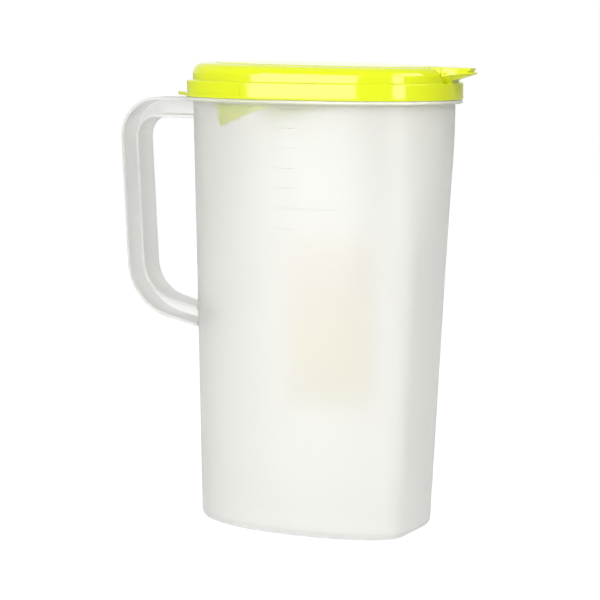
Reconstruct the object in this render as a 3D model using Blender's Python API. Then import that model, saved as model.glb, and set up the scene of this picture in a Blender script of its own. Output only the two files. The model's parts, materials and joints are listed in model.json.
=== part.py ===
"""A two litre plastic water jug with a loop handle, a lid with a pouring beak, and a label.

Metres, +Z up. The origin is the middle of the base. The handle is at -X and the beak at +X.
"""

import math

import bmesh
import bpy
import numpy as np

MM = 0.001

# Plan of the jug: an oval round OVAL_X, whose spout end is cut by a flat face that leans out.
# The flat face fades into a round end below the rim.
OVAL_X = 10.8 * MM
BACK_REACH = (76.2 * MM, 79.2 * MM)
FRONT_REACH = (66.2 * MM, 79.1 * MM)
HALF_WIDTH = (38.6 * MM, 39.8 * MM)
ROUNDNESS = (2.09, 2.43)
FLAT_FACE = (54.5 * MM, 67.5 * MM)
FLAT_FACE_SOFTNESS = 3.1 * MM
ROUND_END_REACH = 72.0 * MM
FLAT_FADE = (140.0 * MM, 236.0 * MM)

# Heights from the table.
FLANGE_BOTTOM = 236.3 * MM
LID_BOTTOM = 238.8 * MM
LEDGE_TOP = 247.9 * MM
DOME_TOP = 257.2 * MM
PANEL_TOP = 257.8 * MM

# Walls and gaps.
WALL = 1.8 * MM
FLOOR = 2.2 * MM
BASE_EDGE = 5.0 * MM
GAP = 0.3 * MM
FLANGE_REACH = 4.0 * MM
LID_WALL = 1.6 * MM
SKIRT_WALL = 1.5 * MM
SKIRT_GAP = 1.0 * MM
DOME_EDGE = 6.0 * MM
PANEL_INSET = 11.0 * MM
PANEL_SLOPE = 1.6 * MM
FLANGE_TOP = LID_BOTTOM - GAP
LIP_TOP = LEDGE_TOP - LID_WALL - GAP

# The dome and its panel fall towards the beak by this much for each unit of length.
PANEL_FALL = 0.0103
FALL_START_X = -55.0 * MM

# The lid's skirt inside the mouth is shallow, with a wing on each side that falls towards the handle.
SKIRT_SHALLOW = 1.0 * MM
SKIRT_DEEP = 16.0 * MM
WING_START_X = 6.0 * MM
WING_DEEP_X = -40.0 * MM
WING_END_X = -43.0 * MM
WING_POWER = 1.3

# At the handle end the lid's band is set back a little, over a lip that widens to a thumb tab.
BAND_STEP_X = -22.0 * MM
BAND_STEP = 0.7 * MM
BAND_STEP_LENGTH = 0.8 * MM
BAND_EDGE = 0.6 * MM
LIP_THICKNESS = 2.0 * MM
LIP_PROUD = 0.1 * MM
TAB_REACH = 9.5 * MM
TAB_HALF_WIDTH = 17.0 * MM

# The beak: a lip like a shallow boat under a flap, with a slot between them.
BEAK_PANEL_X = 68.0 * MM
BEAK_ROOT_X = 81.8 * MM
BEAK_SLOT_X = 93.5 * MM
BEAK_FOOT_X = 85.8 * MM
BEAK_FOOT_RISE = 1.2 * MM
BEAK_TIP_X = 97.2 * MM
BEAK_ROOT_HALF = 10.5 * MM
BEAK_TIP_HALF = 3.6 * MM
BEAK_LIP_TOP = 253.5 * MM
BEAK_TIP_BOTTOM = 252.5 * MM
BEAK_KNEE_DEEP = 1.5 * MM
BEAK_KNEE_POWER = 2.0
BEAK_KNEE_THIN = 0.5 * MM
BEAK_KEEL_SHARE = 0.6
FLAP_BOTTOM = 254.4 * MM
FLAP_SETBACK = 1.2 * MM
FLAP_SET_DOWN = 0.1 * MM
FLAP_DROOP = 0.4 * MM
NECK_SET_DOWN = 0.5 * MM
NECK_OVERLAP = 0.6 * MM
SLOT_DEPTH = 1.4 * MM

# The handle: a channel section that is open to the front, swept along a rounded loop.
HANDLE_DEPTH = 11.3 * MM
HANDLE_WIDTH = 17.0 * MM
HANDLE_FLANGE = 1.8 * MM
HANDLE_WEB = 1.8 * MM
HANDLE_CORNERS = ((-56.0 * MM, 231.6 * MM), (-111.0 * MM, 231.6 * MM),
                  (-105.5 * MM, 122.3 * MM), (-56.0 * MM, 111.4 * MM))
HANDLE_RADII = (17.0 * MM, 27.5 * MM)
HANDLE_ARC_STEPS = 10

# The label on the back wall.
LABEL_MIDDLE = (-5.3 * MM, 107.7 * MM)
LABEL_SIZE = (50.0 * MM, 98.0 * MM)
LABEL_CORNER = 8.5 * MM
LABEL_THICKNESS = 0.5 * MM

RING_POINTS = 80


def blend(pair, z):
    """Value at height z of a size that grows evenly from the base to the lid."""
    return pair[0] + (pair[1] - pair[0]) * z / LID_BOTTOM


def soft_step(value, start, end):
    """0 before start, 1 after end, smooth between."""
    t = np.clip((value - start) / (end - start), 0.0, 1.0)
    return t * t * (3.0 - 2.0 * t)


def ring(z, offset=0.0, count=RING_POINTS):
    """The jug's outline moved outwards by offset, as count points, at height z or at a height each."""
    angle = np.linspace(0.0, 2.0 * math.pi, count, endpoint=False)
    cosine, sine = np.cos(angle), np.sin(angle)
    reach = np.where(cosine > 0, blend(FRONT_REACH, z), blend(BACK_REACH, z)) + offset
    power = 2.0 / blend(ROUNDNESS, z)
    x = reach * np.sign(cosine) * np.abs(cosine) ** power
    y = (blend(HALF_WIDTH, z) + offset) * np.sign(sine) * np.abs(sine) ** power
    flat = blend(FLAT_FACE, z) + offset
    cut = flat - FLAT_FACE_SOFTNESS * np.logaddexp(0.0, (flat - x) / FLAT_FACE_SOFTNESS)
    round_end = np.where(cosine > 0, (ROUND_END_REACH + offset) / reach * x, x)
    x = cut + (round_end - cut) * soft_step(z, *FLAT_FADE)
    return np.column_stack([x + OVAL_X, y, np.broadcast_to(z, count)])


def wall_y(x, z):
    """Half width of the jug at x and height z, away from its flat end face."""
    along = x - OVAL_X
    reach = np.where(along > 0, blend(FRONT_REACH, z), blend(BACK_REACH, z))
    power = blend(ROUNDNESS, z)
    return blend(HALF_WIDTH, z) * (1.0 - np.abs(along / reach) ** power) ** (1.0 / power)


def add_object(name, bm, collection, colour, roughness):
    """Turn a bmesh into a named object with its own material."""
    bmesh.ops.recalc_face_normals(bm, faces=bm.faces)
    mesh = bpy.data.meshes.new(name)
    bm.to_mesh(mesh)
    bm.free()
    obj = bpy.data.objects.new(name, mesh)
    collection.objects.link(obj)
    material = bpy.data.materials.new(name)
    material.use_nodes = True
    shader = material.node_tree.nodes["Principled BSDF"]
    shader.inputs["Base Color"].default_value = colour
    shader.inputs["Roughness"].default_value = roughness
    shader.inputs["Metallic"].default_value = 0.0
    mesh.materials.append(material)
    return obj


def skin(rings):
    """A bmesh through equal rings of points, with a flat cap on the first and the last."""
    bm = bmesh.new()
    rows = [[bm.verts.new(point) for point in points] for points in rings]
    for low, high in zip(rows, rows[1:]):
        for i in range(len(low)):
            j = (i + 1) % len(low)
            bm.faces.new((low[i], low[j], high[j], high[i]))
    bm.faces.new(rows[0])
    bm.faces.new(rows[-1])
    return bm


def apply_boolean(obj, other, operation):
    """Join or cut obj with other for good, and remove other."""
    modifier = obj.modifiers.new(operation.title(), "BOOLEAN")
    modifier.operation = operation
    modifier.solver = "EXACT"
    modifier.object = other
    bpy.context.view_layer.update()
    graph = bpy.context.evaluated_depsgraph_get()
    mesh = bpy.data.meshes.new_from_object(obj.evaluated_get(graph))
    obj.modifiers.clear()
    obj.data = mesh
    bpy.data.objects.remove(other)


def finish(obj, angle=35.0):
    """Merge doubles and shade smooth, with sharp edges kept."""
    bm = bmesh.new()
    bm.from_mesh(obj.data)
    bmesh.ops.remove_doubles(bm, verts=bm.verts, dist=0.00001)
    bm.to_mesh(obj.data)
    bm.free()
    obj.data.shade_smooth()
    obj.data.set_sharp_from_angle(angle=math.radians(angle))


def base_edge(bottom, radius, offset, steps=4):
    """Rings round the rolled edge at the foot of a wall, from the flat bottom up."""
    rings = []
    for step in range(steps + 1):
        turn = 0.5 * math.pi * step / steps
        inset = radius * (1.0 - math.sin(turn))
        rings.append(ring(bottom + radius * (1.0 - math.cos(turn)), offset - inset))
    return rings


def handle_path():
    """Centre line of the handle in the XZ plane, straight runs joined by round corners."""
    corners = np.array(HANDLE_CORNERS)
    points = [corners[0]]
    for before, corner, after, radius in zip(corners, corners[1:], corners[2:], HANDLE_RADII):
        into = (corner - before) / np.linalg.norm(corner - before)
        away = (after - corner) / np.linalg.norm(after - corner)
        half_turn = 0.5 * math.acos(float(into @ away))
        start = corner - into * radius * math.tan(half_turn)
        side = away - into * float(into @ away)
        side = side / np.linalg.norm(side)
        centre = start + side * radius
        for step in range(HANDLE_ARC_STEPS + 1):
            turn = 2.0 * half_turn * step / HANDLE_ARC_STEPS
            points.append(centre - side * radius * math.cos(turn) + into * radius * math.sin(turn))
    points.append(corners[-1])
    return np.array(points)


def handle_section():
    """The channel section as pairs of inward distance and y, open to the front."""
    half = 0.5 * HANDLE_DEPTH
    side = 0.5 * HANDLE_WIDTH
    return ((-half, -side), (HANDLE_FLANGE - half, -side), (HANDLE_FLANGE - half, side - HANDLE_WEB),
            (half - HANDLE_FLANGE, side - HANDLE_WEB), (half - HANDLE_FLANGE, -side), (half, -side),
            (half, side), (-half, side))


def handle_rings():
    """The section carried along the path, square to it."""
    path = handle_path()
    tangent = np.gradient(path, axis=0)
    tangent = tangent / np.linalg.norm(tangent, axis=1)[:, None]
    inward = np.column_stack([-tangent[:, 1], tangent[:, 0]])
    rings = []
    for point, normal in zip(path, inward):
        rings.append([(point[0] + normal[0] * r, y, point[1] + normal[1] * r) for r, y in handle_section()])
    return rings


def make_jug(collection, cutters):
    """The body with its rim flange and handle, hollow and open at the top."""
    heights = np.linspace(0.14, 1.0, 7) * FLANGE_BOTTOM
    rings = base_edge(0.0, BASE_EDGE, 0.0)
    rings += [ring(z) for z in heights]
    rings += [ring(FLANGE_BOTTOM, FLANGE_REACH), ring(FLANGE_TOP, FLANGE_REACH)]
    rings += [ring(FLANGE_TOP), ring(LIP_TOP)]
    jug = add_object("jug", skin(rings), collection, (0.86, 0.87, 0.84, 1.0), 0.35)
    handle = add_object("handle_blank", skin(handle_rings()), cutters, (0.86, 0.87, 0.84, 1.0), 0.35)
    apply_boolean(jug, handle, "UNION")
    hollow = base_edge(FLOOR, BASE_EDGE - WALL, -WALL)
    hollow += [ring(z, -WALL) for z in heights]
    hollow += [ring(LIP_TOP + WALL, -WALL)]
    inside = add_object("inside", skin(hollow), cutters, (0.5, 0.5, 0.5, 1.0), 0.5)
    apply_boolean(jug, inside, "DIFFERENCE")
    finish(jug)


def skirt_bottom(offset):
    """The skirt's lower edge with its wings, as far from the wall as above."""
    along = ring(LID_BOTTOM, offset)[:, 0]
    fall = np.clip((WING_START_X - along) / (WING_START_X - WING_DEEP_X), 0.0, 1.0) ** WING_POWER
    deep = fall * soft_step(along, WING_END_X, WING_DEEP_X)
    return ring(LID_BOTTOM - SKIRT_SHALLOW - (SKIRT_DEEP - SKIRT_SHALLOW) * deep, offset)


def stepped(z, offset):
    """A ring of the band, set back at the handle end."""
    plain = ring(z, offset)
    set_back = ring(z, offset - BAND_STEP)
    share = soft_step(plain[:, 0], BAND_STEP_X - BAND_STEP_LENGTH, BAND_STEP_X)[:, None]
    return set_back + (plain - set_back) * share


def tabbed(z, offset):
    """A ring of the lip, drawn out to the thumb tab at the handle end."""
    points = ring(z, offset)
    behind = points[:, 0] < 0.0
    bulge = np.where(np.abs(points[:, 1]) < TAB_HALF_WIDTH,
                     0.5 + 0.5 * np.cos(math.pi * points[:, 1] / TAB_HALF_WIDTH), 0.0)
    points[:, 0] -= np.where(behind, TAB_REACH * bulge, 0.0)
    return points


def dome_rings(side, top, edge, steps):
    """Rings over a domed edge, from its foot to where it meets the flat top."""
    rings = []
    for step in range(steps + 1):
        turn = 0.5 * math.pi * step / steps
        rings.append(ring(top - edge * (1.0 - math.sin(turn)), side - edge * (1.0 - math.cos(turn))))
    return rings


def lean(points):
    """Let points above the ledge fall towards the beak, in proportion to their height over it."""
    share = np.clip((points[:, 2] - LEDGE_TOP) / (PANEL_TOP - LEDGE_TOP), 0.0, 1.0)
    points[:, 2] -= PANEL_FALL * share * (points[:, 0] - FALL_START_X)
    return points


def make_lid_shell(collection):
    """The lid without its beak: band, ledge, dome, panel, lip and skirt in one shell."""
    band = FLANGE_REACH
    lip_top = LID_BOTTOM + LIP_THICKNESS
    under = LEDGE_TOP - LID_WALL
    skirt = -WALL - SKIRT_GAP
    inner = skirt - SKIRT_WALL
    rings = [ring(PANEL_TOP, -PANEL_INSET - PANEL_SLOPE), ring(DOME_TOP, -PANEL_INSET)]
    rings += dome_rings(0.0, DOME_TOP, DOME_EDGE, 4)[::-1]
    rings += [ring(LEDGE_TOP), stepped(LEDGE_TOP, band - BAND_EDGE), stepped(LEDGE_TOP - BAND_EDGE, band)]
    rings += [stepped(lip_top, band), tabbed(lip_top, band + LIP_PROUD)]
    rings += [tabbed(LID_BOTTOM, band + LIP_PROUD)]
    rings += [ring(LID_BOTTOM, band - LID_WALL), ring(under, band - LID_WALL)]
    rings += [ring(under, skirt), skirt_bottom(skirt), skirt_bottom(inner)]
    rings += [ring(under, inner)]
    rings += dome_rings(inner, DOME_TOP - LID_WALL, DOME_EDGE - LID_WALL, 2)[1:]
    rings += [ring(DOME_TOP - LID_WALL, -PANEL_INSET), ring(PANEL_TOP - LID_WALL, -PANEL_INSET - PANEL_SLOPE)]
    leaning = [lean(points) for points in rings]
    return add_object("lid", skin(leaning), collection, (0.62, 0.78, 0.03, 1.0), 0.2)


def beak_half_width(x):
    """Half width of the beak at x, wide at its root and narrow at its tip."""
    t = max(0.0, (x - BEAK_ROOT_X) / (BEAK_TIP_X - BEAK_ROOT_X))
    return BEAK_TIP_HALF + (BEAK_ROOT_HALF - BEAK_TIP_HALF) * (1.0 - t) ** 1.2


def lip_ring(x):
    """Section of the boat-shaped lip at x: upright sides over slanting lower sides."""
    half = beak_half_width(x)
    foot = LEDGE_TOP + BEAK_FOOT_RISE if x > BEAK_FOOT_X else LEDGE_TOP - BAND_EDGE
    rise = max(0.0, (x - BEAK_FOOT_X) / (BEAK_TIP_X - BEAK_FOOT_X))
    low = foot + (BEAK_TIP_BOTTOM - foot) * rise
    along = (x - BEAK_ROOT_X) / (BEAK_TIP_X - BEAK_ROOT_X)
    knee = max(BEAK_LIP_TOP - BEAK_KNEE_THIN - BEAK_KNEE_DEEP * (1.0 - along) ** BEAK_KNEE_POWER, low + BEAK_KNEE_THIN)
    keel = BEAK_KEEL_SHARE * half
    return [(x, -half, BEAK_LIP_TOP), (x, -half, knee), (x, -keel, low),
            (x, keel, low), (x, half, knee), (x, half, BEAK_LIP_TOP)]


def flap_top(x):
    """Height of the flap's upper face, which carries on the panel's fall and droops to the tip."""
    along = max(0.0, (x - BEAK_ROOT_X) / (BEAK_TIP_X - BEAK_ROOT_X))
    return PANEL_TOP - PANEL_FALL * (x - FALL_START_X) - FLAP_SET_DOWN - FLAP_DROOP * along


def plate_rings(low, set_down, inset, end):
    """A plate of the beak's plan from a height up to near the flap's top, inset past the slot's start."""
    rings = []
    past_slot = np.linspace(BEAK_SLOT_X + 0.1 * MM, end, 4)
    for x in (BEAK_PANEL_X, BEAK_ROOT_X, BEAK_SLOT_X, *past_slot):
        half = beak_half_width(x) - (inset if x > BEAK_SLOT_X else 0.0)
        high = flap_top(x) - set_down
        rings.append([(x, -half, low), (x, half, low), (x, half, high), (x, -half, high)])
    return rings


def make_lid(collection, cutters):
    """The lid with its beak joined on."""
    lid = make_lid_shell(collection)
    lime = (0.62, 0.78, 0.03, 1.0)
    stations = [BEAK_ROOT_X, BEAK_FOOT_X, *np.linspace(BEAK_FOOT_X + 0.1 * MM, BEAK_TIP_X, 6)]
    lip = [lip_ring(x) for x in stations]
    neck = plate_rings(BEAK_LIP_TOP - NECK_OVERLAP, NECK_SET_DOWN, SLOT_DEPTH, BEAK_TIP_X - SLOT_DEPTH)
    flap = plate_rings(FLAP_BOTTOM, 0.0, 0.0, BEAK_TIP_X - FLAP_SETBACK)
    for name, rings in (("lip", lip), ("neck", neck), ("flap", flap)):
        piece = add_object(name, skin(rings), cutters, lime, 0.2)
        apply_boolean(lid, piece, "UNION")
    finish(lid)


def label_columns():
    """Distances from the label's middle and half heights of its columns, with round corners."""
    wide, tall = 0.5 * LABEL_SIZE[0], 0.5 * LABEL_SIZE[1]
    turns = np.linspace(0.0, 0.5 * math.pi, 6)
    corner_x = wide - LABEL_CORNER + LABEL_CORNER * np.sin(turns)
    corner_z = tall - LABEL_CORNER + LABEL_CORNER * np.cos(turns)
    middle_x = np.linspace(-corner_x[0], corner_x[0], 8)
    along = np.concatenate([-corner_x[::-1], middle_x[1:-1], corner_x])
    half = np.concatenate([corner_z[::-1], np.full(6, tall), corner_z])
    return along, half


def make_label(collection):
    """A thin sheet with round corners that follows the back wall."""
    share = np.linspace(-1.0, 1.0, 6)
    rings = []
    for along, half in zip(*label_columns()):
        x = np.full(share.size, LABEL_MIDDLE[0] + along)
        z = LABEL_MIDDLE[1] + half * share
        near = np.column_stack([x, wall_y(x, z) + GAP, z])
        far = np.column_stack([x, wall_y(x, z) + GAP + LABEL_THICKNESS, z])
        rings.append(np.vstack([near, far[::-1]]))
    label = add_object("label", skin(rings), collection, (0.93, 0.86, 0.74, 1.0), 0.6)
    finish(label)


def main():
    for obj in list(bpy.data.objects):
        bpy.data.objects.remove(obj)
    jug_parts = bpy.data.collections.new("water_jug")
    cutters = bpy.data.collections.new("cutters")
    bpy.context.scene.collection.children.link(jug_parts)
    bpy.context.scene.collection.children.link(cutters)
    make_jug(jug_parts, cutters)
    make_lid(jug_parts, cutters)
    make_label(jug_parts)


main()
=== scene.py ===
# %% [markdown]
# # A frosted plastic water jug with a lime lid
#
# The real jug is injection-moulded in milky polypropylene and stands in the door of a
# refrigerator. This notebook dresses its packed construction model: the frame gives
# the solids that hold the sizes, and each cell below makes the fine surface and the
# finish of one piece. Everything is in metres, with +Z up and the pouring beak at +X.

# %% Load the frame
import json
import math

import bmesh
import bpy
import numpy as np
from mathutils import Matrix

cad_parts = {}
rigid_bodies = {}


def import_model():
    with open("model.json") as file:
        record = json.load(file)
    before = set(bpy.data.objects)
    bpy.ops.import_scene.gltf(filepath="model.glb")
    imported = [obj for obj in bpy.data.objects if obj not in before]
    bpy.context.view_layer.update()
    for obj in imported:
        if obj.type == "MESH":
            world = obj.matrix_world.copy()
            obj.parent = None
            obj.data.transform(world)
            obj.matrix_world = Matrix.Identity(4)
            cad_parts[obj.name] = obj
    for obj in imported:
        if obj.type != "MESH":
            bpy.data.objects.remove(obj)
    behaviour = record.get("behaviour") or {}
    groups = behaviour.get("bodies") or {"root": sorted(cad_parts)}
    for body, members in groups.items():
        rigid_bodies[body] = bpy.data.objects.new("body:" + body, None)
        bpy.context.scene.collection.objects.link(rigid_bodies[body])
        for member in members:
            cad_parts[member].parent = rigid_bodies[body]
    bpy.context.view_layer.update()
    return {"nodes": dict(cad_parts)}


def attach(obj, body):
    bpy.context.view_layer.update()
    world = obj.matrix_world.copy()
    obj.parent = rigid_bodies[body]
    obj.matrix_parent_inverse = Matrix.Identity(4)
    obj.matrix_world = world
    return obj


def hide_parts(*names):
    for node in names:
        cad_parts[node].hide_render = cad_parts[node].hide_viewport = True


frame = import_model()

MM = 0.001
scene = bpy.context.scene
print("nodes in the frame:", sorted(frame["nodes"]))

# %% [markdown]
# ## The camera
#
# The photograph looks at the near side of the jug from a little above the lid, turned
# towards the beak. A long lens at a distance keeps the walls almost parallel, as a
# product photographer does it. The camera could be turned by eye until it looks right.
# Fitting it to the outline, the curve of the base and the rim takes longer, but it also
# gives the proportions of the jug.

# %% Camera
PHOTO_SIZE = 600
FOCAL_PIXELS = 2400.0
SENSOR_MM = 36.0
AZIMUTH = math.radians(26.0)
PITCH = math.atan(306.14 / FOCAL_PIXELS)
DISTANCE = 1320.7 * MM
SIDESTEP = -15.5 * MM
EYE_HEIGHT = 295.1 * MM
AIM_X = 10.8 * MM

camera_data = bpy.data.cameras.new("camera")
camera_data.sensor_width = SENSOR_MM
camera_data.lens = FOCAL_PIXELS * SENSOR_MM / PHOTO_SIZE
camera_data.clip_end = 1000.0
camera = bpy.data.objects.new("camera", camera_data)
camera.location = (AIM_X + DISTANCE * math.sin(AZIMUTH) + SIDESTEP * math.cos(AZIMUTH),
                   -DISTANCE * math.cos(AZIMUTH) + SIDESTEP * math.sin(AZIMUTH), EYE_HEIGHT)
camera.rotation_euler = (0.5 * math.pi - PITCH, 0.0, AZIMUTH)
scene.collection.objects.link(camera)
scene.camera = camera
print("camera at", tuple(round(c, 3) for c in camera.location), "lens", camera_data.lens)

# %% [markdown]
# ## The outline of the jug at any height
#
# Seen from above, the jug is an oval. It could be drawn as a curve and lofted, but one
# formula is shorter and gives every wall, rim and lid edge from the same plan. A
# superellipse has the full, rounded look; its reach differs towards the handle and
# towards the beak, and low down the beak end is cut by a flat face that leans out.

# %% Plan formula
LID_BOTTOM = 238.8 * MM
OVAL_X = 10.8 * MM
BACK_REACH = (76.2 * MM, 79.2 * MM)
FRONT_REACH = (66.2 * MM, 79.1 * MM)
HALF_WIDTH = (38.6 * MM, 39.8 * MM)
ROUNDNESS = (2.09, 2.43)
FLAT_FACE = (54.5 * MM, 67.5 * MM)
FLAT_FACE_SOFTNESS = 3.1 * MM
ROUND_END_REACH = 72.0 * MM
FLAT_FADE = (140.0 * MM, 236.0 * MM)


def blend(pair, z):
    """Size at height z: the first number at the table, the second under the lid, straight between."""
    return pair[0] + (pair[1] - pair[0]) * z / LID_BOTTOM


def soft_step(value, start, end):
    """0 before start and 1 after end; between them 3t^2 - 2t^3, where t runs from 0 to 1."""
    t = np.clip((value - start) / (end - start), 0.0, 1.0)
    return t * t * (3.0 - 2.0 * t)


def plan(z, offset, angle):
    """Points of the outline moved out by offset.

    x = reach * sign(cos) * |cos|^(2/n) and y = width * sign(sin) * |sin|^(2/n).
    The flat face is a soft minimum, flat - s * log(1 + exp((flat - x) / s)), which fades out
    below the rim into the round end.
    """
    cosine, sine = np.cos(angle), np.sin(angle)
    reach = np.where(cosine > 0, blend(FRONT_REACH, z), blend(BACK_REACH, z)) + offset
    power = 2.0 / blend(ROUNDNESS, z)
    x = reach * np.sign(cosine) * np.abs(cosine) ** power
    y = (blend(HALF_WIDTH, z) + offset) * np.sign(sine) * np.abs(sine) ** power
    flat = blend(FLAT_FACE, z) + offset
    cut = flat - FLAT_FACE_SOFTNESS * np.logaddexp(0.0, (flat - x) / FLAT_FACE_SOFTNESS)
    round_end = np.where(cosine > 0, (ROUND_END_REACH + offset) / reach * x, x)
    x = cut + (round_end - cut) * soft_step(z, *FLAT_FADE)
    return np.stack([x + OVAL_X, y, z + 0.0 * x], axis=-1)


def wall_y(x, z):
    """Half width of the jug at x and z, away from the flat face: the superellipse solved for y."""
    along = x - OVAL_X
    reach = np.where(along > 0, blend(FRONT_REACH, z), blend(BACK_REACH, z))
    power = blend(ROUNDNESS, z)
    return blend(HALF_WIDTH, z) * (1.0 - np.abs(along / reach) ** power) ** (1.0 / power)


print("outline at the table is", np.ptp(plan(0.0, 0.0, np.linspace(0.0, 6.3, 400))[:, 0]).round(4), "m long")

# %% [markdown]
# ## From rings to a closed mesh
#
# Every moulded piece here is a stack of rings: a profile of heights and offsets carried
# round the plan. Blender could lathe a profile, but only round a circle. Computing all
# the points as one array and writing them with from_pydata is quick, and closing
# the first and last ring with a fan leaves no hole for light to leak through.

# %% Mesh helpers
RING_POINTS = 288
STEP_SPAN = (106.1, 111.9)
STEP_POINTS = 18
STEP_ANGLES = np.radians(np.linspace(*STEP_SPAN, STEP_POINTS))
# Even steps all round, and extra points on both sides where the lid's band steps back.
ANGLES = np.sort(np.concatenate([np.linspace(0.0, 2.0 * math.pi, RING_POINTS, endpoint=False),
                                 STEP_ANGLES, 2.0 * math.pi - STEP_ANGLES]))


def rings_from_profile(heights, offsets):
    """One ring for each pair of height and offset, as an array of rings by points by 3."""
    z = np.asarray(heights, float)[:, None] * np.ones_like(ANGLES)
    return plan(z, np.asarray(offsets, float)[:, None], ANGLES[None, :])


def solid(name, rings, smooth_angle=40.0):
    """A closed mesh object: quads join neighbouring rings, and a fan closes each end."""
    count, around = rings.shape[:2]
    index = np.arange(count * around).reshape(count, around)
    after = np.roll(index, -1, axis=1)
    quads = np.stack([index[:-1], after[:-1], after[1:], index[1:]], axis=-1).reshape(-1, 4)
    middles = np.stack([rings[0].mean(axis=0), rings[-1].mean(axis=0)])
    first = np.full(around, count * around)
    start_fan = np.stack([after[0], index[0], first], axis=-1)
    end_fan = np.stack([index[-1], after[-1], first + 1], axis=-1)
    mesh = bpy.data.meshes.new(name)
    points = np.vstack([rings.reshape(-1, 3), middles])
    mesh.from_pydata(points.tolist(), [], quads.tolist() + start_fan.tolist() + end_fan.tolist())
    bm = bmesh.new()
    bm.from_mesh(mesh)
    bmesh.ops.recalc_face_normals(bm, faces=bm.faces)
    bm.to_mesh(mesh)
    bm.free()
    obj = bpy.data.objects.new(name, mesh)
    scene.collection.objects.link(obj)
    smooth(obj, smooth_angle)
    return obj


def smooth(obj, angle):
    """Shade smooth, and keep edges sharper than the angle crisp."""
    obj.data.shade_smooth()
    obj.data.set_sharp_from_angle(angle=math.radians(angle))


def join(obj, other, smooth_angle=40.0):
    """Unite obj with other for good; other is removed afterwards."""
    modifier = obj.modifiers.new("join", "BOOLEAN")
    modifier.operation = "UNION"
    modifier.solver = "MANIFOLD"
    modifier.object = other
    graph = bpy.context.evaluated_depsgraph_get()
    mesh = bpy.data.meshes.new_from_object(obj.evaluated_get(graph))
    obj.modifiers.clear()
    obj.data = mesh
    bpy.data.objects.remove(other)
    smooth(obj, smooth_angle)


def arc(start, end, steps):
    """Angles in degrees from start to end as radians."""
    return np.radians(np.linspace(start, end, steps + 1))


# %% [markdown]
# ## The body
#
# The wall is about 1.8 mm thick and open at the top, where a thin flange runs round
# under the lid. One profile walks from the middle of the base, round the rolled lower
# edge, up the outside, round the flange and lip, and back down the inside to the
# middle of the floor, so both faces of the wall and its thickness are one closed skin.
# A Solidify modifier could thicken a single skin, but this way the floor, the rim and the
# wall each have a thickness of their own.

# %% Body profile
FLANGE_BOTTOM = 236.3 * MM
LEDGE_TOP = 247.9 * MM
WALL = 1.8 * MM
FLOOR = 2.2 * MM
BASE_EDGE = 5.0 * MM
GAP = 0.3 * MM
FLANGE_REACH = 4.0 * MM
LID_SEAM = 0.05 * MM
FLANGE_TOP = LID_BOTTOM - LID_SEAM
LID_WALL = 1.6 * MM
LIP_TOP = LEDGE_TOP - LID_WALL - GAP
FILLET = 0.6 * MM
BASE_RINGS = np.linspace(-36.0, -5.4, 12) * MM
WALL_START = 8.0 * MM
WALL_RINGS = 60


def body_profile():
    """Heights and offsets of the outside, the rim and the inside, in walking order."""
    foot = arc(0, 90, 10)
    heights = [np.zeros(BASE_RINGS.size), BASE_EDGE * (1 - np.cos(foot))]
    offsets = [BASE_RINGS, BASE_EDGE * (np.sin(foot) - 1)]
    wall = np.linspace(WALL_START, FLANGE_BOTTOM - FILLET, WALL_RINGS)
    heights.append(wall)
    offsets.append(np.zeros(wall.size))
    turn = arc(0, 90, 4)
    heights.append(FLANGE_BOTTOM - FILLET + FILLET * np.sin(turn))
    offsets.append(FILLET * (1 - np.cos(turn)))
    edge = arc(-90, 90, 8)
    half = 0.5 * (FLANGE_TOP - FLANGE_BOTTOM)
    heights.append(FLANGE_BOTTOM + half + half * np.sin(edge))
    offsets.append(FLANGE_REACH - half + half * np.cos(edge))
    heights.append(np.array([FLANGE_TOP, LIP_TOP - 0.5 * WALL]))
    offsets.append(np.zeros(2))
    lip = arc(0, 180, 8)
    heights.append(LIP_TOP - 0.5 * WALL + 0.5 * WALL * np.sin(lip))
    offsets.append(-0.5 * WALL + 0.5 * WALL * np.cos(lip))
    inner = wall[::-1]
    heights.append(inner)
    offsets.append(np.full(inner.size, -WALL))
    inner_foot = arc(90, 0, 8)
    radius = BASE_EDGE - WALL
    heights.append(FLOOR + radius * (1 - np.cos(inner_foot)))
    offsets.append(-WALL + radius * (np.sin(inner_foot) - 1))
    heights.append(np.full(BASE_RINGS.size - 1, FLOOR))
    offsets.append(BASE_RINGS[::-1][1:])
    return np.concatenate(heights), np.concatenate(offsets)


jug = solid("jug_body", rings_from_profile(*body_profile()))
print("body:", len(jug.data.polygons), "faces")

# %% [markdown]
# ## The handle
#
# The handle is moulded with the body. Its section is a channel: two flanges joined by a
# web at the back, open towards the front, which saves plastic and cools evenly. A
# bevelled curve would only give a full bar, so the channel's outline, with rounded
# edges, is carried along a path of straight runs and arcs. Both ends are cut upright at
# the same x. The upper end lies inside the wall, where a Boolean union joins them. The
# jug is narrower lower down, so the lower end stops 0.3 to 1.5 mm short of the wall.

# %% Handle
HANDLE_DEPTH = 11.3 * MM
HANDLE_WIDTH = 17.0 * MM
HANDLE_WALL = 1.8 * MM
HANDLE_EDGE = 0.6 * MM
HANDLE_END_X = -67.2 * MM
HANDLE_CORNERS = np.array([(-60.0, 231.6), (-111.0, 231.6), (-105.5, 122.3), (-60.0, 112.3)]) * MM
HANDLE_RADII = (17.0 * MM, 27.5 * MM)


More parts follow.
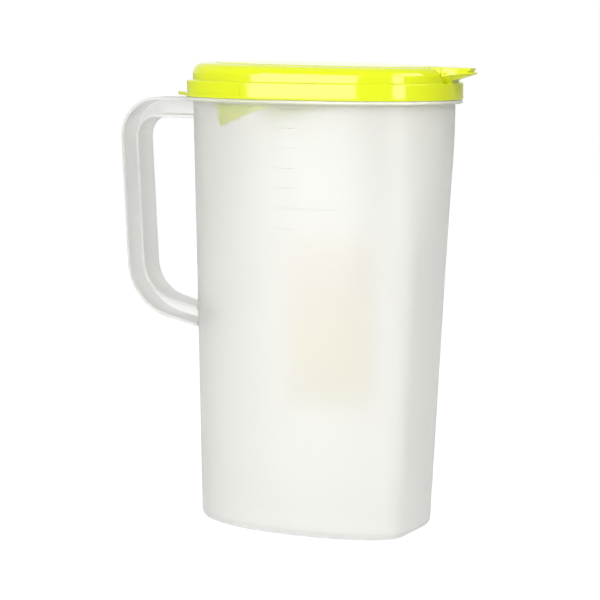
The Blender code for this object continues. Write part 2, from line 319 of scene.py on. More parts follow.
def rounded_path(corners, radii, steps, spacing):
    """Points along straight runs joined by arcs: each arc touches both runs at its ends."""
    points = [corners[:1]]
    for before, corner, after, radius in zip(corners, corners[1:], corners[2:], radii):
        into = (corner - before) / np.linalg.norm(corner - before)
        away = (after - corner) / np.linalg.norm(after - corner)
        half_turn = 0.5 * math.acos(float(into @ away))
        start = corner - into * radius * math.tan(half_turn)
        side = away - into * float(into @ away)
        side = side / np.linalg.norm(side)
        run = start - points[-1][-1]
        pieces = max(2, int(np.linalg.norm(run) / spacing))
        points.append(points[-1][-1] + run * np.linspace(0, 1, pieces + 1)[1:-1, None])
        turn = np.linspace(0.0, 2.0 * half_turn, steps + 1)[:, None]
        points.append(start + side * radius * (1 - np.cos(turn)) + into * radius * np.sin(turn))
    run = corners[-1] - points[-1][-1]
    points.append(points[-1][-1] + run * np.linspace(0, 1, 9)[1:, None])
    return np.vstack(points)


def rounded_outline(corners, radius, steps=3):
    """A closed outline with each corner replaced by a quarter arc of the radius."""
    corners = np.array(corners)
    before, after = np.roll(corners, 1, axis=0), np.roll(corners, -1, axis=0)
    into = (corners - before) / np.linalg.norm(corners - before, axis=1)[:, None]
    away = (after - corners) / np.linalg.norm(after - corners, axis=1)[:, None]
    turn = np.linspace(0.0, 0.5 * math.pi, steps + 1)[None, :, None]
    start = (corners - into * radius)[:, None, :]
    curve = start + away[:, None, :] * radius * (1 - np.cos(turn))
    curve = curve + into[:, None, :] * radius * np.sin(turn)
    return curve.reshape(-1, 2)


def handle_rings():
    """The channel outline carried along the path, square to it, its two ends cut upright."""
    path = rounded_path(HANDLE_CORNERS, HANDLE_RADII, 24, 4.0 * MM)
    tangent = np.gradient(path, axis=0)
    tangent = tangent / np.linalg.norm(tangent, axis=1)[:, None]
    inward = np.stack([-tangent[:, 1], tangent[:, 0]], axis=-1)
    half, side = 0.5 * HANDLE_DEPTH, 0.5 * HANDLE_WIDTH
    channel = rounded_outline([(-half, -side), (HANDLE_WALL - half, -side),
                               (HANDLE_WALL - half, side - HANDLE_WALL),
                               (half - HANDLE_WALL, side - HANDLE_WALL),
                               (half - HANDLE_WALL, -side), (half, -side),
                               (half, side), (-half, side)], HANDLE_EDGE)
    x = path[:, :1] + inward[:, :1] * channel[None, :, 0]
    z = path[:, 1:] + inward[:, 1:] * channel[None, :, 0]
    y = np.broadcast_to(channel[None, :, 1], x.shape)
    rings = np.stack([x, y, z], axis=-1)
    outside = path[:, 0] <= HANDLE_END_X
    rings = rings[outside]
    slopes = (tangent[outside][0], tangent[outside][-1])
    ends = []
    for ring_points, slope in ((rings[0], slopes[0]), (rings[-1], slopes[1])):
        reach = (HANDLE_END_X - ring_points[:, 0]) / slope[0]
        end = ring_points.copy()
        end[:, 0] += slope[0] * reach
        end[:, 2] += slope[1] * reach
        ends.append(end[None])
    return np.concatenate([ends[0], rings, ends[1]])


handle = solid("handle", handle_rings())
join(jug, handle)
print("body with handle:", len(jug.data.polygons), "faces")

# %% [markdown]
# ## The litre scale
#
# Fine raised marks stand on the front wall. Their heights are worked out, not guessed:
# the area inside the wall at each height is summed until it holds each tenth of a
# litre. Short bars mark the tenths and long bars the halves, with plain numbers beside
# them. The photograph shows them from 1.4 to 2 litres, so these are made. A bump in the
# material would be quicker, but only real relief is kept in the mesh, so each bar is a
# little mesh bent to the wall.

# %% Scale marks
MARK_X = -4.3 * MM
SHORT_MARK = 14.0 * MM
LONG_MARK = 38.0 * MM
MARK_HEIGHT = 0.8 * MM
MARK_PROUD = 0.1 * MM
MARK_SUNK = 0.1 * MM
MARK_TAPER_POWER = 16
MARK_END_SHARE = 0.1
FIRST_TENTH = 14
LAST_TENTH = 20
LITRE = 0.001


def area_inside(z):
    """Area inside the wall at each height, by the shoelace rule over the outline's points."""
    outline = plan(z[:, None], -WALL, ANGLES[None, :])
    x, y = outline[..., 0], outline[..., 1]
    return 0.5 * np.abs(np.sum(x * np.roll(y, -1, axis=1) - y * np.roll(x, -1, axis=1), axis=1))


levels = np.linspace(FLOOR, FLANGE_BOTTOM, 400)
areas = area_inside(levels)
volume = np.concatenate([[0.0], np.cumsum(0.5 * (areas[1:] + areas[:-1]) * np.diff(levels))])
tenths = np.arange(FIRST_TENTH, LAST_TENTH + 1)
mark_heights = np.interp(0.1 * tenths * LITRE, volume, levels)
print("2 litre mark at", round(float(mark_heights[-1]) / MM, 1), "mm")
print("filled up to the flange it holds", round(volume[-1] / LITRE, 2), "litres")


def on_front_wall(x, z, proud):
    """A point of the front wall at x and z, moved out along y by proud."""
    return np.stack([x, -wall_y(x, z) - proud, z], axis=-1)


def mark_bar(name, x_start, length, z, height):
    """A bar that follows the wall: a flattened round section that shrinks towards both ends.

    At t along the bar its size is sqrt(1 - (2t - 1)^16), times 0.9, plus 0.1.
    """
    along = np.linspace(0.0, 1.0, 25)[:, None]
    turn = np.linspace(0.0, 2.0 * math.pi, 12, endpoint=False)[None, :]
    full = np.sqrt(np.clip(1.0 - (2.0 * along - 1.0) ** MARK_TAPER_POWER, 0.0, 1.0))
    taper = full * (1.0 - MARK_END_SHARE) + MARK_END_SHARE
    x = x_start + length * along + 0.0 * turn
    level = z + 0.5 * height * np.sin(turn) * taper
    proud = np.where(np.cos(turn) > 0, MARK_PROUD, MARK_SUNK) * np.cos(turn) * taper
    return solid(name, on_front_wall(x, level, proud), smooth_angle=60.0)


def wrapped_text(name, words, x, z, size):
    """Letters as a thin mesh: the flat text's x and y become x and height on the wall."""
    curve = bpy.data.curves.new(name, "FONT")
    curve.body = words
    curve.size = size
    curve.extrude = 0.5 * (MARK_PROUD + MARK_SUNK)
    curve.resolution_u = 4
    holder = bpy.data.objects.new(name, curve)
    scene.collection.objects.link(holder)
    graph = bpy.context.evaluated_depsgraph_get()
    mesh = bpy.data.meshes.new_from_object(holder.evaluated_get(graph))
    bpy.data.objects.remove(holder)
    flat = np.empty(len(mesh.vertices) * 3)
    mesh.vertices.foreach_get("co", flat)
    flat = flat.reshape(-1, 3)
    proud = flat[:, 2] + 0.5 * (MARK_PROUD - MARK_SUNK)
    bent = on_front_wall(x + flat[:, 0], z + flat[:, 1], proud)
    mesh.vertices.foreach_set("co", bent.ravel())
    mesh.update()
    obj = bpy.data.objects.new(name, mesh)
    scene.collection.objects.link(obj)
    return obj


def merge(name, pieces):
    """Put the meshes of several objects into one object, and merge their doubles."""
    bm = bmesh.new()
    for piece in pieces:
        bm.from_mesh(piece.data)
        bpy.data.objects.remove(piece)
    bmesh.ops.remove_doubles(bm, verts=bm.verts, dist=1e-6)
    bmesh.ops.recalc_face_normals(bm, faces=bm.faces)
    mesh = bpy.data.meshes.new(name)
    bm.to_mesh(mesh)
    bm.free()
    obj = bpy.data.objects.new(name, mesh)
    scene.collection.objects.link(obj)
    return obj


NUMBER_SIZE = 6.0 * MM
NUMBER_X = 4.0 * MM
NUMBER_LIFT = 1.6 * MM
bars = []
for tenth, height in zip(tenths, mark_heights):
    long = tenth % 5 == 0
    bars.append(mark_bar("bar", MARK_X, LONG_MARK if long else SHORT_MARK, height, MARK_HEIGHT))
    if long:
        words = f"{tenth / 10:.1f}"
        bars.append(wrapped_text("number", words, NUMBER_X, height + NUMBER_LIFT, NUMBER_SIZE))
scale_marks = merge("scale_marks", bars)
smooth(scale_marks, 50.0)
print("scale marks:", len(scale_marks.data.polygons), "faces")

# %% [markdown]
# ## The lid
#
# The lid is one lime green moulding: a band that grips the rim, a ledge, a low dome with
# a soft edge and a slightly raised panel, and inside the mouth a thin skirt with
# a wing on each side, which shows through the wall. At the handle end the band is set
# back a little over its foot, which grows into a thumb tab. The dome falls slightly
# towards the beak. It could be modelled from a cylinder by insets and bevels, but as
# with the body, one profile that walks over the outside and back underneath keeps every
# thickness exact.

# %% Lid shell
DOME_TOP = 257.2 * MM
PANEL_TOP = 257.8 * MM
PANEL_FALL = 0.0103
FALL_START_X = -55.0 * MM
DOME_EDGE = 6.0 * MM
PANEL_INSET = 11.0 * MM
PANEL_SLOPE = 1.6 * MM
PANEL_MIDDLE_INSET = 38.0 * MM
DOME_FOOT = 0.3 * MM
SKIRT_WALL = 1.5 * MM
SKIRT_GAP = 1.0 * MM
SKIRT_SHALLOW = 1.0 * MM
SKIRT_DEEP = 16.0 * MM
WING_START_X = 6.0 * MM
WING_DEEP_X = -40.0 * MM
WING_END_X = -43.0 * MM
WING_POWER = 1.3
BAND_STEP_X = -22.0 * MM
BAND_STEP = 0.7 * MM
BAND_STEP_LENGTH = 0.8 * MM
BAND_EDGE = 0.6 * MM
BAND_SIDE_START = 0.8 * MM
LIP_THICKNESS = 2.0 * MM
LIP_PROUD = 0.1 * MM
LIP_EDGE = 0.4 * MM
LIP_FOLD = 0.02 * MM
TAB_REACH = 9.5 * MM
TAB_HALF_WIDTH = 17.0 * MM


def ring(z, offset=0.0):
    """One ring of the plan at a height, or at a height for each point."""
    return plan(z + 0.0 * ANGLES, offset, ANGLES)


def stepped(z, offset):
    """A ring of the band, set back by the step at the handle end."""
    plain, set_back = ring(z, offset), ring(z, offset - BAND_STEP)
    share = soft_step(plain[:, 0], BAND_STEP_X - BAND_STEP_LENGTH, BAND_STEP_X)[:, None]
    return set_back + (plain - set_back) * share


def tabbed(z, offset):
    """A ring drawn out at the handle end: x moves back by reach * (1 + cos(pi y / width)) / 2."""
    points = ring(z, offset)
    near = (np.abs(points[:, 1]) < TAB_HALF_WIDTH) & (points[:, 0] < 0.0)
    bulge = np.where(near, 0.5 + 0.5 * np.cos(math.pi * points[:, 1] / TAB_HALF_WIDTH), 0.0)
    points[:, 0] -= TAB_REACH * bulge
    return points


def skirt_bottom(offset):
    """The skirt's lower edge: shallow, with wings that deepen towards the handle as t^1.3."""
    along = ring(LID_BOTTOM, offset)[:, 0]
    fall = np.clip((WING_START_X - along) / (WING_START_X - WING_DEEP_X), 0.0, 1.0) ** WING_POWER
    deep = fall * soft_step(along, WING_END_X, WING_DEEP_X)
    return ring(LID_BOTTOM - SKIRT_SHALLOW - (SKIRT_DEEP - SKIRT_SHALLOW) * deep, offset)


def dome(side, top, edge, steps):
    """Rings over a quarter round edge, from its foot to where it meets the flat top."""
    return [ring(top - edge * (1 - math.sin(t)), side - edge * (1 - math.cos(t)))
            for t in arc(0, 90, steps)]


def lean(points):
    """Above the ledge, z falls by slope * (x - start), in proportion to the height over the ledge."""
    share = np.clip((points[..., 2] - LEDGE_TOP) / (PANEL_TOP - LEDGE_TOP), 0.0, 1.0)
    points[..., 2] -= PANEL_FALL * share * (points[..., 0] - FALL_START_X)
    return points


def panel_and_dome_rings():
    """From the middle of the panel down its slope, over the dome and its round edge to the ledge."""
    insets = np.linspace(-PANEL_MIDDLE_INSET, -PANEL_INSET - PANEL_SLOPE - DOME_FOOT, 8)
    rings = [ring(PANEL_TOP, inset) for inset in insets]
    for t in np.linspace(0.0, 1.0, 6):
        rings.append(ring(PANEL_TOP - (PANEL_TOP - DOME_TOP) * soft_step(t, 0.0, 1.0),
                          -PANEL_INSET - PANEL_SLOPE + PANEL_SLOPE * t))
    rings += dome(0.0, DOME_TOP, DOME_EDGE, 12)[::-1]
    return rings + [ring(LEDGE_TOP + DOME_FOOT), ring(LEDGE_TOP, DOME_FOOT)]


def band_and_lip_rings():
    """The band's round upper edge and side, then the lip with its thumb tab."""
    lip_top = LID_BOTTOM + LIP_THICKNESS
    rings = []
    for t in arc(0, 90, 5):
        z = LEDGE_TOP - BAND_EDGE * (1 - math.cos(t))
        rings.append(stepped(z, FLANGE_REACH - BAND_EDGE * (1 - math.sin(t))))
    for z in np.linspace(LEDGE_TOP - BAND_EDGE - BAND_SIDE_START, lip_top, 4):
        rings.append(stepped(z, FLANGE_REACH))
    reach = FLANGE_REACH + LIP_PROUD
    rings += [tabbed(lip_top - LIP_FOLD, FLANGE_REACH), tabbed(lip_top - LIP_PROUD, reach)]
    for t in arc(0, 90, 5):
        z = LID_BOTTOM + LIP_EDGE * (1 - math.sin(t))
        rings.append(tabbed(z, reach - LIP_EDGE * (1 - math.cos(t))))
    return rings


def underside_rings():
    """Up inside the band, round the skirt with its wings, and under the dome to its middle."""
    under = LEDGE_TOP - LID_WALL
    skirt = -WALL - SKIRT_GAP
    inner = skirt - SKIRT_WALL
    rings = [ring(LID_BOTTOM, FLANGE_REACH - LID_WALL), ring(under, FLANGE_REACH - LID_WALL)]
    rings += [ring(under, skirt), ring(LID_BOTTOM, skirt)]
    rings += [skirt_bottom(skirt), skirt_bottom(0.5 * (skirt + inner)), skirt_bottom(inner)]
    rings += [ring(LID_BOTTOM, inner), ring(under, inner)]
    rings += dome(inner, DOME_TOP - LID_WALL, DOME_EDGE - LID_WALL, 6)[1:]
    insets = np.linspace(-PANEL_INSET, -PANEL_MIDDLE_INSET, 8)
    return rings + [ring(DOME_TOP - LID_WALL, inset) for inset in insets]


lid_rings = panel_and_dome_rings() + band_and_lip_rings() + underside_rings()
lid = solid("lid_shell", lean(np.stack(lid_rings)))
print("lid shell:", len(lid.data.polygons), "faces")

# %% [markdown]
# ## The pouring beak
#
# A boat-shaped lip runs out from the dome under a flat flap, and the two part only at the
# tip, where the drink leaves. Its sides lean in, so that water runs to the tip and not
# down the wall. Box modelling would do, but its taper and its droop are easier to match
# as numbers, so each part is a loft: its section is worked out at stations along x.

# %% Beak
BEAK_PANEL_X = 68.0 * MM
BEAK_ROOT_X = 81.8 * MM
BEAK_SLOT_X = 95.0 * MM
BEAK_FOOT_X = 85.8 * MM
BEAK_FOOT_RISE = 1.2 * MM
BEAK_TIP_X = 97.2 * MM
BEAK_ROOT_HALF = 10.5 * MM
BEAK_TIP_HALF = 3.6 * MM
BEAK_TAPER_POWER = 1.2
BEAK_LIP_TOP = 253.5 * MM
BEAK_TIP_BOTTOM = 252.5 * MM
BEAK_KNEE_DEEP = 1.5 * MM
BEAK_KNEE_POWER = 2.0
BEAK_KNEE_THIN = 0.5 * MM
BEAK_KEEL_SHARE = 0.6
FLAP_BOTTOM = 254.4 * MM
FLAP_SETBACK = 1.2 * MM
FLAP_SET_DOWN = 0.1 * MM
FLAP_DROOP = 0.4 * MM
FLAP_EDGE = 0.5 * MM
NECK_SET_DOWN = 0.5 * MM
NECK_OVERLAP = 0.6 * MM
NECK_EDGE = 0.1 * MM
SLOT_DEPTH = 1.4 * MM
ROOT_RUN = 1.0 * MM
NEXT_STATION = 0.1 * MM


def beak_half_width(x):
    """Half width of the beak: wide at the root, narrowing as (1 - t)^1.2 to the tip."""
    t = np.clip((x - BEAK_ROOT_X) / (BEAK_TIP_X - BEAK_ROOT_X), 0.0, 1.0)
    return BEAK_TIP_HALF + (BEAK_ROOT_HALF - BEAK_TIP_HALF) * (1.0 - t) ** BEAK_TAPER_POWER


def section_ring(x, outline):
    """A ring of points at x from an outline of y and z."""
    outline = np.array(outline)
    return np.column_stack([np.full(len(outline), x), outline])


def lip_outline(x):
    """Upright sides above a knee, then slanting sides down to a flat keel.

    The knee lies deep at the root and rises to the tip, as depth * (1 - t)^2, and the keel rises
    evenly from the foot to the tip.
    """
    half = beak_half_width(x)
    foot = LEDGE_TOP + BEAK_FOOT_RISE if x > BEAK_FOOT_X else LEDGE_TOP - BAND_EDGE
    rise = max(0.0, (x - BEAK_FOOT_X) / (BEAK_TIP_X - BEAK_FOOT_X))
    low = foot + (BEAK_TIP_BOTTOM - foot) * rise
    along = (x - BEAK_ROOT_X) / (BEAK_TIP_X - BEAK_ROOT_X)
    knee_drop = BEAK_KNEE_DEEP * (1.0 - along) ** BEAK_KNEE_POWER
    knee = max(BEAK_LIP_TOP - BEAK_KNEE_THIN - knee_drop, low + BEAK_KNEE_THIN)
    keel = BEAK_KEEL_SHARE * half
    return [(-half, BEAK_LIP_TOP), (-half, knee), (-keel, low),
            (keel, low), (half, knee), (half, BEAK_LIP_TOP)]


def flap_top(x):
    """Upper face of the flap: it carries on the panel's fall and droops evenly to the tip."""
    along = max(0.0, (x - BEAK_ROOT_X) / (BEAK_TIP_X - BEAK_ROOT_X))
    return PANEL_TOP - PANEL_FALL * (x - FALL_START_X) - FLAP_SET_DOWN - FLAP_DROOP * along


def plate_outline(half, low, high, edge):
    """A plate's section with rounded upper edges."""
    turn = arc(0, 90, 4)
    right = np.stack([half - edge + edge * np.sin(turn), high - edge + edge * np.cos(turn)], axis=-1)
    left = right[::-1] * (-1.0, 1.0)
    return np.vstack([left, right, [(half, low), (-half, low)]])


def plate_ring(x, inset, low, set_down, edge):
    """A section of a plate that has the beak's plan, from a height up to near the flap's top."""
    outline = plate_outline(beak_half_width(x) - inset, low, flap_top(x) - set_down, edge)
    return section_ring(x, outline)


lip_stations = [BEAK_ROOT_X, BEAK_FOOT_X, *np.linspace(BEAK_FOOT_X + NEXT_STATION, BEAK_TIP_X, 16)]
lip_rings = [section_ring(x, lip_outline(x)) for x in lip_stations]
lip = solid("beak_lip", np.stack(lip_rings), smooth_angle=30.0)

neck_bottom = BEAK_LIP_TOP - NECK_OVERLAP
neck_stations = [BEAK_PANEL_X, BEAK_ROOT_X, *np.linspace(BEAK_ROOT_X + ROOT_RUN, BEAK_SLOT_X, 8)]
neck_rings = [plate_ring(x, 0.0, neck_bottom, NECK_SET_DOWN, NECK_EDGE) for x in neck_stations]
for x in np.linspace(BEAK_SLOT_X + NEXT_STATION, BEAK_TIP_X - SLOT_DEPTH, 4):
    neck_rings.append(plate_ring(x, SLOT_DEPTH, neck_bottom, NECK_SET_DOWN, NECK_EDGE))
neck = solid("beak_neck", np.stack(neck_rings), smooth_angle=30.0)

flap_end = BEAK_TIP_X - FLAP_SETBACK
flap_stations = [BEAK_PANEL_X, BEAK_ROOT_X, *np.linspace(BEAK_ROOT_X + ROOT_RUN, flap_end, 14)]
flap_rings = [plate_ring(x, 0.0, FLAP_BOTTOM, 0.0, FLAP_EDGE) for x in flap_stations]
flap = solid("beak_flap", np.stack(flap_rings), smooth_angle=30.0)
for piece in (lip, neck, flap):
    join(lid, piece, smooth_angle=35.0)
print("lid with beak:", len(lid.data.polygons), "faces")

# %% [markdown]
# ## The label
#
# A blank printed film sits on the back wall and glows through the milky plastic. It could
# be a patch of colour in the wall's material, but a film of its own lies behind the wall
# and blurs as the real one does. It is a grid over a rectangle with round corners, bent to the wall, with a
# front, a back and an edge.

# %% Label
LABEL_MIDDLE = (-5.3 * MM, 107.7 * MM)
LABEL_SIZE = (50.0 * MM, 98.0 * MM)
LABEL_CORNER = 8.5 * MM
LABEL_THICKNESS = 0.5 * MM


def label_rings():
    """Columns across the label: half height is full, and falls off in a quarter circle at the ends."""
    wide, tall = 0.5 * LABEL_SIZE[0], 0.5 * LABEL_SIZE[1]
    corner = wide - LABEL_CORNER + LABEL_CORNER * np.sin(arc(0, 90, 10))
    flat = np.linspace(-wide + LABEL_CORNER, wide - LABEL_CORNER, 24)
    along = np.concatenate([-corner[::-1], flat[1:-1], corner])
    over = np.clip(np.abs(along) - (wide - LABEL_CORNER), 0.0, LABEL_CORNER)
    half = tall - LABEL_CORNER + np.sqrt(LABEL_CORNER ** 2 - over ** 2)
    share = np.linspace(-1.0, 1.0, 48)
    x = LABEL_MIDDLE[0] + along[:, None] + 0.0 * share
    z = LABEL_MIDDLE[1] + half[:, None] * share
    near = np.stack([x, wall_y(x, z) + GAP, z], axis=-1)
    far = np.stack([x, wall_y(x, z) + GAP + LABEL_THICKNESS, z], axis=-1)
    return np.concatenate([near, far[:, ::-1]], axis=1)


label = solid("label_film", label_rings(), smooth_angle=30.0)
print("label:", len(label.data.polygons), "faces")

# %% [markdown]
# ## Frosted plastic
#
# Frosted polypropylene lets light through but scatters it. A volume that scatters inside the
# wall would be nearest to the real thing, and slow to render. A rough transmission with a
# little white scatter gives the same milky look, in which near things stay clear and far
# things blur. Where the plastic is thick, at the rim, more light comes back, so those
# faces get a whiter copy. Its yellow tint is painted light: the lime lid's glow spilling
# into the rim.

# %% Frosted plastic


def new_material(name):
    """A node material with its node tree and its Principled shader."""
    material = bpy.data.materials.new(name)
    material.use_nodes = True
    tree = material.node_tree
    return material, tree, tree.nodes["Principled BSDF"]


def add_grain(tree, shader, scale, strength, distance):
    """A fine noise on Object coordinates, as bump."""
    where = tree.nodes.new("ShaderNodeTexCoord")
    noise = tree.nodes.new("ShaderNodeTexNoise")
    noise.inputs["Scale"].default_value = scale
    noise.inputs["Detail"].default_value = 3.0
    bump = tree.nodes.new("ShaderNodeBump")
    bump.inputs["Strength"].default_value = strength
    bump.inputs["Distance"].default_value = distance
    tree.links.new(where.outputs["Object"], noise.inputs["Vector"])
    tree.links.new(noise.outputs["Fac"], bump.inputs["Height"])
    tree.links.new(bump.outputs["Normal"], shader.inputs["Normal"])


def frosted_plastic():
    """Milky translucent polypropylene with a satin, finely grained surface."""
    material, tree, shader = new_material("frosted_plastic")
    shader.inputs["Base Color"].default_value = (0.97, 0.967, 0.942, 1.0)
    shader.inputs["Roughness"].default_value = 0.32
    shader.inputs["IOR"].default_value = 1.4
    shader.inputs["Transmission Weight"].default_value = 0.88
    add_grain(tree, shader, scale=900.0, strength=0.08, distance=0.0002)
    return material


def thick_plastic_with_painted_lime_glow(plastic):
    """A copy of the plastic for where it is thick: it scatters more back and lets less through, and a
    painted yellow tint stands in for the lime lid's light in the rim.
    """
    material = plastic.copy()
    material.name = "thick_plastic_with_painted_lime_glow"
    shader = material.node_tree.nodes["Principled BSDF"]
    # Painted light: the yellow tint stands in for lime light from the lid scattering into the rim.
    shader.inputs["Base Color"].default_value = (0.93, 0.93, 0.84, 1.0)
    shader.inputs["Transmission Weight"].default_value = 0.65
    return material


frosted = frosted_plastic()
thick_plastic_lime_glow = thick_plastic_with_painted_lime_glow(frosted)
print("made", frosted.name, "and", thick_plastic_lime_glow.name)

# %% [markdown]
# ## Lime plastic
#
# The lid's plastic is coloured through and lets no light pass that can be seen. A plain
# colour with a gloss does it, and a little grain from the mould breaks the gloss, since a
# perfect mirror would look like glass.

# %% Lime plastic


def lime_plastic():
    """Lime green plastic, coloured through, with a broken gloss."""
    material, tree, shader = new_material("lime_plastic")
    shader.inputs["Base Color"].default_value = (0.5, 0.555, 0.006, 1.0)
    shader.inputs["Roughness"].default_value = 0.1
    shader.inputs["IOR"].default_value = 1.49
    add_grain(tree, shader, scale=500.0, strength=0.03, distance=0.0002)
    return material


lime = lime_plastic()
print("made", lime.name)

# %% [markdown]
# ## The print on the label
#
# Seen through the wall, the print is no more than soft fields of cream, yellow and peach. A
# picture could be laid on the film, but a ramp of five colours up its height gives the
# same fields and needs no file.

# %% Label print
PRINT_BOTTOM = (0.96, 0.90, 0.76, 1.0)
PRINT_TOP = (0.97, 0.90, 0.79, 1.0)
PRINT_FIELDS = ((0.35, (0.96, 0.91, 0.70, 1.0)),
                (0.62, (0.97, 0.87, 0.72, 1.0)),
                (0.85, (0.97, 0.89, 0.79, 1.0)))


def label_print():
    """Clear film whose tint follows the height on the label, from 0 at its foot to 1 at its top."""
    material, tree, shader = new_material("label_film")
    where = tree.nodes.new("ShaderNodeTexCoord")
    split = tree.nodes.new("ShaderNodeSeparateXYZ")
    ramp = tree.nodes.new("ShaderNodeValToRGB")
    span = tree.nodes.new("ShaderNodeMapRange")
    span.inputs["From Min"].default_value = LABEL_MIDDLE[1] - 0.5 * LABEL_SIZE[1]
    span.inputs["From Max"].default_value = LABEL_MIDDLE[1] + 0.5 * LABEL_SIZE[1]
    tree.links.new(where.outputs["Object"], split.inputs["Vector"])
    tree.links.new(split.outputs["Z"], span.inputs["Value"])
    tree.links.new(span.outputs["Result"], ramp.inputs["Fac"])
    ramp.color_ramp.elements[0].color = PRINT_BOTTOM
    ramp.color_ramp.elements[1].color = PRINT_TOP
    for position, colour in PRINT_FIELDS:
        element = ramp.color_ramp.elements.new(position)
        element.color = colour
    tree.links.new(ramp.outputs["Color"], shader.inputs["Base Color"])
    shader.inputs["Roughness"].default_value = 0.2
    shader.inputs["IOR"].default_value = 1.3
    shader.inputs["Transmission Weight"].default_value = 0.97
    return material


printed = label_print()
print("made", printed.name)

# %% [markdown]
# ## Put the finishes on
#
# Each piece gets one material. Only the jug gets a second one, on the faces of its rim: they
# could be picked by hand, but their height and place along x find them as well, and the
# handle, which reaches as high, is left out.

# %% Put on
for piece, material in ((jug, frosted), (scale_marks, frosted), (lid, lime), (label, printed)):
    piece.data.materials.clear()
    piece.data.materials.append(material)
    print(piece.name, "wears", material.name)

centres = np.empty(len(jug.data.polygons) * 3)
jug.data.polygons.foreach_get("center", centres)
centres = centres.reshape(-1, 3)
flange_back_x = OVAL_X - BACK_REACH[1] - FLANGE_REACH
# The rim faces get the thick copy, with its painted yellow tint of lime light from the lid.
thick = (centres[:, 2] > FLANGE_BOTTOM - FILLET) & (centres[:, 0] > flange_back_x)
jug.data.materials.append(thick_plastic_lime_glow)
jug.data.polygons.foreach_set("material_index", thick.astype(np.int32))
print("faces of thick plastic:", int(thick.sum()))

# %% [markdown]
# ## The floor
#
# The photograph stands the jug on white with no shadow to speak of. A white floor under
# strong lamps would still show a shadow, so this one gives light of its own. The milky
# body shows what lies behind it, so the floor glows most in a patch behind the jug and less
# round it, while the camera sees it as an even white.

# %% Floor
WHITE = (1.0, 1.0, 1.0, 1.0)
FLOOR_HALF = 250.0
FLOOR_WHITE = 0.95
FLOOR_BEHIND = 0.75
FLOOR_AROUND = 0.4
BRIGHT_PATCH_BEHIND = 0.8
BRIGHT_PATCH_REACH = (1.0, 2.6)
TOWARD_CAMERA = (math.sin(AZIMUTH), -math.cos(AZIMUTH), 0.0)


def flat_square(name, half):
    """A flat square at the height of the table."""
    mesh = bpy.data.meshes.new(name)
    corners = [(-half, -half, 0.0), (half, -half, 0.0), (half, half, 0.0), (-half, half, 0.0)]
    mesh.from_pydata(corners, [], [(0, 1, 2, 3)])
    obj = bpy.data.objects.new(name, mesh)
    scene.collection.objects.link(obj)
    return obj


def smooth_fade(tree, source, reach, strengths):
    """The first strength before the reach, the second after it, and 3t^2 - 2t^3 of the way between."""
    fade = tree.nodes.new("ShaderNodeMapRange")
    fade.interpolation_type = "SMOOTHSTEP"
    fade.inputs["From Min"].default_value = reach[0]
    fade.inputs["From Max"].default_value = reach[1]
    fade.inputs["To Min"].default_value = strengths[0]
    fade.inputs["To Max"].default_value = strengths[1]
    tree.links.new(source, fade.inputs["Value"])
    return fade.outputs["Result"]


def glowing_floor():
    """Pale grey that glows by its distance from the bright patch, and evenly for the camera."""
    material, tree, shader = new_material("floor")
    shader.inputs["Base Color"].default_value = (0.1, 0.1, 0.1, 1.0)
    shader.inputs["Roughness"].default_value = 0.9
    shader.inputs["Specular IOR Level"].default_value = 0.0
    shader.inputs["Emission Color"].default_value = WHITE
    place = tree.nodes.new("ShaderNodeTexCoord")
    away = tree.nodes.new("ShaderNodeVectorMath")
    away.operation = "DISTANCE"
    away.inputs[1].default_value = [-BRIGHT_PATCH_BEHIND * part for part in TOWARD_CAMERA]
    tree.links.new(place.outputs["Object"], away.inputs[0])
    glow = smooth_fade(tree, away.outputs["Value"], BRIGHT_PATCH_REACH, (FLOOR_BEHIND, FLOOR_AROUND))
    ray = tree.nodes.new("ShaderNodeLightPath")
    seen = tree.nodes.new("ShaderNodeMapRange")
    seen.inputs["To Max"].default_value = FLOOR_WHITE
    tree.links.new(ray.outputs["Is Camera Ray"], seen.inputs["Value"])
    tree.links.new(glow, seen.inputs["To Min"])
    tree.links.new(seen.outputs["Result"], shader.inputs["Emission Strength"])
    return material


floor = flat_square("floor", FLOOR_HALF)
floor.data.materials.append(glowing_floor())
print("floor:", 2.0 * FLOOR_HALF, "m wide")

# %% [markdown]
# ## Soft boxes
#
# Two soft boxes stand on the camera's side: the broad one makes the long pale reflection on
# the lid, and the narrow one the strip near the beak. A third hangs high on the right and
# lights the beak's end. Small lamps would only make bright dots on the gloss, and a box
# is mirrored as a bar with straight edges, as in the photograph.

# %% Soft boxes
BOX_LIGHT = 6.0
BOX_DISTANCE = 1.6


def soft_box(name, azimuth, middle, width, height, tilt=0.0):
    """A rectangle of light with its middle at a height, leaning down by tilt.

    Its power is radiance * pi * area, so every box is equally bright to look at.
    """
    light = bpy.data.lights.new(name, "AREA")
    light.shape = "RECTANGLE"
    light.size = width
    light.size_y = height
    light.energy = BOX_LIGHT * math.pi * width * height
    box = bpy.data.objects.new(name, light)
    turn = math.radians(azimuth)
    box.location = (BOX_DISTANCE * math.sin(turn), -BOX_DISTANCE * math.cos(turn), middle)
    box.rotation_euler = (0.5 * math.pi - math.radians(tilt), 0.0, turn)
    scene.collection.objects.link(box)


soft_box("broad_box", azimuth=-19.5, middle=0.62, width=1.18, height=1.2)
soft_box("narrow_box", azimuth=37.3, middle=0.62, width=0.37, height=1.2)
soft_box("high_box", azimuth=65.0, middle=1.9, width=1.4, height=1.4, tilt=48.0)
print("three soft boxes at", BOX_DISTANCE, "m")

# %% [markdown]
# ## The room
#
# The rest of the light is the white room. It could be one even colour, but the walls of the
# jug would then have no shape: the room is brightest behind the jug, greyer beside the
# camera, and darker on the beak's side. The camera itself sees plain white.

# %% Room
ROOM_BEHIND = 1.05
ROOM_BESIDE_CAMERA = 0.42
ROOM_FADE = (-1.0, 0.1)
DARK_SIDE_AZIMUTH = math.radians(115.0)
DARK_SIDE_SHARE = 0.55
DARK_SIDE_FADE = (0.6, 1.0)


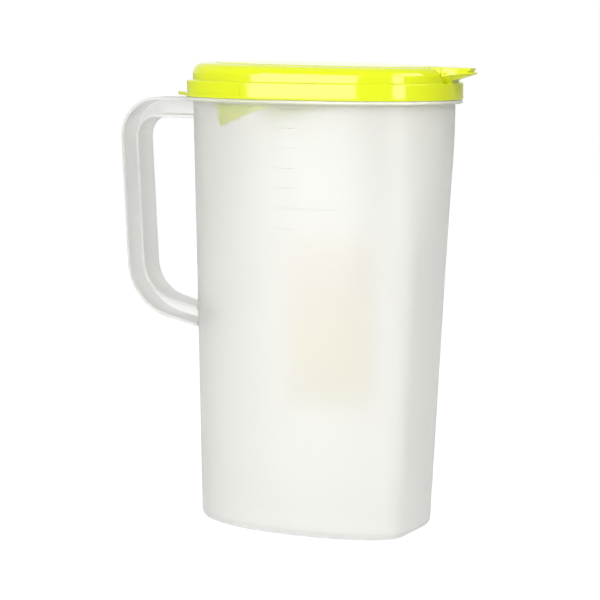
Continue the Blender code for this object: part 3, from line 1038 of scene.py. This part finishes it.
def facing(tree, direction, azimuth):
    """How straight a direction points to the side at an azimuth: the dot product of the two."""
    dot = tree.nodes.new("ShaderNodeVectorMath")
    dot.operation = "DOT_PRODUCT"
    dot.inputs[1].default_value = (math.sin(azimuth), -math.cos(azimuth), 0.0)
    tree.links.new(direction, dot.inputs[0])
    return dot.outputs["Value"]


def white_room(name):
    """A white world: strength fades from behind the jug to the camera, times the dark side's share."""
    world = bpy.data.worlds.new(name)
    world.use_nodes = True
    tree = world.node_tree
    room = tree.nodes["Background"]
    room.inputs["Color"].default_value = WHITE
    direction = tree.nodes.new("ShaderNodeTexCoord").outputs["Generated"]
    fade = smooth_fade(tree, facing(tree, direction, AZIMUTH), ROOM_FADE,
                       (ROOM_BEHIND, ROOM_BESIDE_CAMERA))
    dark_side = smooth_fade(tree, facing(tree, direction, DARK_SIDE_AZIMUTH), DARK_SIDE_FADE,
                            (1.0, DARK_SIDE_SHARE))
    strength = tree.nodes.new("ShaderNodeMath")
    strength.operation = "MULTIPLY"
    tree.links.new(fade, strength.inputs[0])
    tree.links.new(dark_side, strength.inputs[1])
    tree.links.new(strength.outputs["Value"], room.inputs["Strength"])
    backdrop = tree.nodes.new("ShaderNodeBackground")
    backdrop.inputs["Color"].default_value = WHITE
    choice = tree.nodes.new("ShaderNodeMixShader")
    ray = tree.nodes.new("ShaderNodeLightPath")
    tree.links.new(ray.outputs["Is Camera Ray"], choice.inputs["Fac"])
    tree.links.new(room.outputs["Background"], choice.inputs[1])
    tree.links.new(backdrop.outputs["Background"], choice.inputs[2])
    tree.links.new(choice.outputs["Shader"], tree.nodes["World Output"].inputs["Surface"])
    return world


scene.world = white_room("studio")
scene.view_settings.view_transform = "Standard"
print("room lit from", ROOM_BESIDE_CAMERA, "beside the camera to", ROOM_BEHIND, "behind the jug")

# %% [markdown]
# ## Hand the pieces over
#
# Each piece rides on the one body, and the frame's jug, lid and label are hidden.

# %% Ride and replace
for piece, slot_name in ((jug, "frosted_plastic"), (scale_marks, "frosted_plastic"),
                         (lid, "lime_plastic"), (label, "label_film")):
    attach(piece, "root")
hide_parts("jug")
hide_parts("lid")
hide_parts("label")
